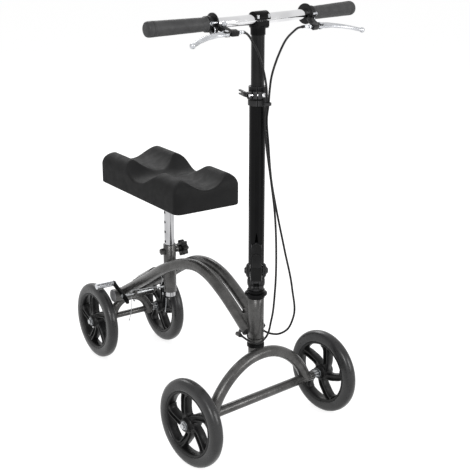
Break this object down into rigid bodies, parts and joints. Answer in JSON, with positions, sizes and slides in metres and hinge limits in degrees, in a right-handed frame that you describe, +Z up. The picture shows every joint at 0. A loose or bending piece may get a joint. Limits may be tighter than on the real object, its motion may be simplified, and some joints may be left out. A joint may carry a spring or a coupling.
{
  "type": "knee walker",
  "caption": "Steerable knee walker: wheeled frame with an adjustable knee pad, folding column, height-set handlebar and hand-operated rear brakes.",
  "frame": {"origin": "on the floor, under the middle of the walker's overall length and width", "axes": "+Z up, +Y to the rear, +X to the user's left side"},
  "size_m": [0.5747, 0.8452, 0.9844],
  "materials": {
    "frame_paint": "hammered dark grey paint, satin",
    "black_paint": "smooth black paint, semi-gloss",
    "black_plastic": "moulded black plastic, satin",
    "tyre_rubber": "solid dark grey rubber, matt",
    "grip_rubber": "soft dark grey rubber, matt",
    "pad_skin": "moulded black foam with a closed matt skin",
    "chrome": "bright chrome plate",
    "steel": "zinc-plated steel",
    "alloy": "satin aluminium"
  },
  "bodies": {
    "frame": {"head_tube": "frame_paint", "lower_cup": "frame_paint", "upper_cup": "black_paint", "main_tube_right": "frame_paint", "main_tube_left": "frame_paint", "frame_gusset": "frame_paint", "rear_bridge": "frame_paint", "rear_beam": "frame_paint", "rear_arch": "frame_paint", "rear_axle": "steel", "seat_sleeve": "frame_paint", "brake_pivot_rod": "steel", "brake_cable_right": "black_plastic", "brake_cable_left": "black_plastic"},
    "fork": {"steerer": "frame_paint", "front_arch": "frame_paint", "front_axle_tube": "frame_paint", "front_axle_right": "steel", "front_axle_left": "steel", "lower_race": "black_paint", "locknut": "black_paint", "fold_base": "black_paint", "fold_bolt": "steel"},
    "fold_latch": {"fold_latch_lever": "black_paint"},
    "column": {"fold_knuckle": "black_paint", "column_lower_tube": "black_paint", "height_collar": "black_paint", "clamp_bolt": "chrome"},
    "height_lever": {"height_clamp_lever": "black_paint"},
    "handlebar": {"column_upper_tube": "black_paint", "stem_base": "black_paint", "stem_cap": "black_paint", "handlebar_tube": "chrome", "grip_right": "grip_rubber", "grip_left": "grip_rubber", "lever_bracket_right": "black_paint", "lever_bracket_left": "black_paint"},
    "lever_right": {"brake_lever_right": "alloy"},
    "lever_left": {"brake_lever_left": "alloy"},
    "parking_button": {"lock_button": "chrome"},
    "seat": {"seat_post": "chrome", "seat_plate": "black_paint", "seat_pad": "pad_skin"},
    "knob": {"seat_knob": "black_plastic"},
    "brake_right": {"brake_arm_right": "black_paint", "brake_bar_right": "alloy"},
    "brake_left": {"brake_arm_left": "black_paint", "brake_bar_left": "alloy"},
    "wheel_front_right": {"tyre_front_right": "tyre_rubber", "rim_front_right": "black_plastic", "wheel_bearing_front_right": "steel"},
    "wheel_front_left": {"tyre_front_left": "tyre_rubber", "rim_front_left": "black_plastic", "wheel_bearing_front_left": "steel"},
    "wheel_rear_right": {"tyre_rear_right": "tyre_rubber", "rim_rear_right": "black_plastic", "wheel_bearing_rear_right": "steel"},
    "wheel_rear_left": {"tyre_rear_left": "tyre_rubber", "rim_rear_left": "black_plastic", "wheel_bearing_rear_left": "steel"}
  },
  "joints": [
    {"name": "steering", "type": "hinge", "parent": "frame", "child": "fork", "pos_m": [-0.0093, -0.27824, 0.3], "axis": [0, 0, 1], "range_deg": [-41.9, 28.1], "deforming": ["brake_cable_right", "brake_cable_left"]},
    {"name": "fold_latch_swing", "type": "hinge", "parent": "fork", "child": "fold_latch", "pos_m": [-0.02143, -0.29599, 0.372], "axis": [0.8257, -0.5641, 0], "range_deg": [0, 80]},
    {"name": "column_fold", "type": "hinge", "parent": "fork", "child": "column", "pos_m": [-0.0093, -0.27824, 0.405], "axis": [-0.8257, 0.5641, 0], "range_deg": [0, 90], "deforming": ["brake_cable_right", "brake_cable_left"]},
    {"name": "height_lever_swing", "type": "hinge", "parent": "column", "child": "height_lever", "pos_m": [-0.03575, -0.28682, 0.806], "axis": [0, 0, 1], "range_deg": [0, 110]},
    {"name": "handlebar_height", "type": "slide", "parent": "column", "child": "handlebar", "axis": [0, 0, 1], "range_m": [-0.1, 0.09], "deforming": ["brake_cable_right", "brake_cable_left"]},
    {"name": "brake_squeeze_right", "type": "hinge", "parent": "handlebar", "child": "lever_right", "pos_m": [-0.12667, -0.33468, 0.94704], "axis": [-0.0106, 0.3088, -0.9511], "range_deg": [0, 28], "stiffness_Nm_per_rad": 0.9, "springref_deg": -14.32},
    {"name": "brake_squeeze_left", "type": "hinge", "parent": "handlebar", "child": "lever_left", "pos_m": [0.13844, -0.30025, 0.94078], "axis": [0.0893, -0.4292, 0.8988], "range_deg": [0, 28], "stiffness_Nm_per_rad": 0.9, "springref_deg": -14.32},
    {"name": "button_press", "type": "slide", "parent": "handlebar", "child": "parking_button", "axis": [-0.0106, 0.3088, -0.9511], "range_m": [0, 0.003], "stiffness_N_per_m": 400, "springref_m": -0.002},
    {"name": "seat_height", "type": "slide", "parent": "frame", "child": "seat", "axis": [0, 0, 1], "range_m": [-0.1016, 0.0762]},
    {"name": "knob_turn", "type": "hinge", "parent": "frame", "child": "knob", "pos_m": [0.0307, 0.10246, 0.344], "axis": [1, 0, 0], "range_deg": [0, 720]},
    {"name": "rear_brake_right", "type": "hinge", "parent": "frame", "child": "brake_right", "pos_m": [-0.0743, 0.23576, 0.191], "axis": [-1, 0, 0], "range_deg": [0, 3]},
    {"name": "rear_brake_left", "type": "hinge", "parent": "frame", "child": "brake_left", "pos_m": [0.0557, 0.23576, 0.191], "axis": [-1, 0, 0], "range_deg": [0, 3]},
    {"name": "wheel_roll_front_right", "type": "hinge", "parent": "fork", "child": "wheel_front_right", "pos_m": [-0.21146, -0.32079, 0.1016], "axis": [0.9928, 0.1194, 0], "continuous": true},
    {"name": "wheel_roll_front_left", "type": "hinge", "parent": "fork", "child": "wheel_front_left", "pos_m": [0.19719, -0.27163, 0.1016], "axis": [0.9928, 0.1194, 0], "continuous": true},
    {"name": "wheel_roll_rear_right", "type": "hinge", "parent": "frame", "child": "wheel_rear_right", "pos_m": [-0.1106, 0.32096, 0.1016], "axis": [1, 0, 0], "continuous": true},
    {"name": "wheel_roll_rear_left", "type": "hinge", "parent": "frame", "child": "wheel_rear_left", "pos_m": [0.092, 0.32096, 0.1016], "axis": [1, 0, 0], "continuous": true}
  ],
  "couplings": [
    {"joint": "rear_brake_right", "follows": "brake_squeeze_right", "ratio": 0.107},
    {"joint": "rear_brake_left", "follows": "brake_squeeze_left", "ratio": 0.107}
  ]
}
